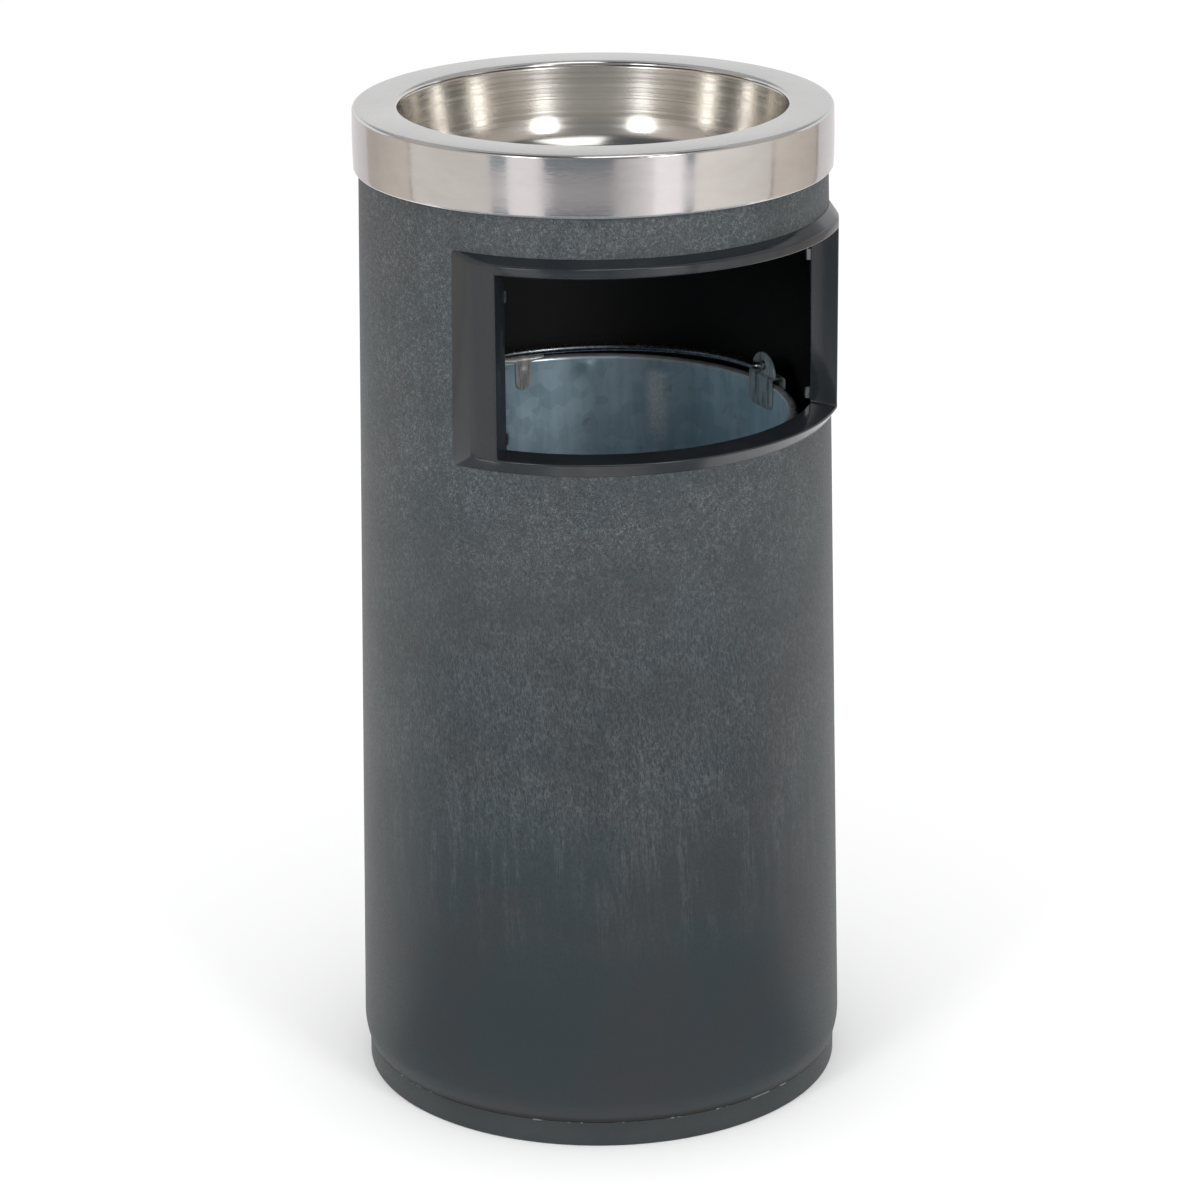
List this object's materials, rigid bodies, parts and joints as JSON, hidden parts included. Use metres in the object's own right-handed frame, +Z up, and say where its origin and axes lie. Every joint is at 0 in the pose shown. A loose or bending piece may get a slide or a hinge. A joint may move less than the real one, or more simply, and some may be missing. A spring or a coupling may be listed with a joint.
{
  "type": "ashtray bin",
  "caption": "Free-standing round litter bin with a side window, a lift-off steel ash bowl on top and a lift-out bucket with a folding bail.",
  "frame": {"origin": "centre of the flat underside of the base, where the bin stands on the floor", "axes": "+Z up along the axis of the round tube, -Y out through the middle of the litter window, +X to the right of the window seen from outside"},
  "size_m": [0.2552, 0.2552, 0.52],
  "materials": {
    "slate_plastic": "textured dark slate polypropylene with fine light fibres",
    "frame_plastic": "semi-gloss dark grey moulding",
    "brushed_stainless": "finely brushed stainless steel",
    "polished_stainless": "spun and polished stainless steel",
    "galvanised_sheet": "blue-grey galvanised sheet, slightly stained",
    "zinc_wire": "zinc plated steel wire",
    "spring_steel": "plain bright spring steel"
  },
  "bodies": {
    "bin_body": {"body_shell": "slate_plastic", "base_cap": "slate_plastic", "base_screw_1": "spring_steel", "base_screw_2": "spring_steel", "base_screw_3": "spring_steel", "base_screw_4": "spring_steel", "aperture_frame": "frame_plastic", "frame_clip_left_lower": "spring_steel", "frame_clip_left_upper": "spring_steel", "frame_clip_right_lower": "spring_steel", "frame_clip_right_upper": "spring_steel"},
    "bucket": {"bucket_wall": "galvanised_sheet", "bucket_rim_wire": "zinc_wire", "bucket_bottom": "galvanised_sheet", "bucket_ear_left": "galvanised_sheet", "bucket_ear_right": "galvanised_sheet", "bail_rest_clip": "galvanised_sheet"},
    "bail": {"bail_handle": "zinc_wire"},
    "head": {"head_ring": "brushed_stainless", "ash_bowl": "polished_stainless"}
  },
  "joints": [
    {"name": "bucket_lift", "type": "slide", "parent": "bin_body", "child": "bucket", "axis": [0, 0, 1], "range_m": [0, 0.53]},
    {"name": "head_lift", "type": "slide", "parent": "bucket", "child": "head", "axis": [0, 0, 1], "range_m": [0, 0.15]},
    {"name": "bail_swing", "type": "hinge", "parent": "bucket", "child": "bail", "pos_m": [0, 0, 0.3684], "axis": [1, 0, 0], "range_deg": [0, 180]}
  ]
}
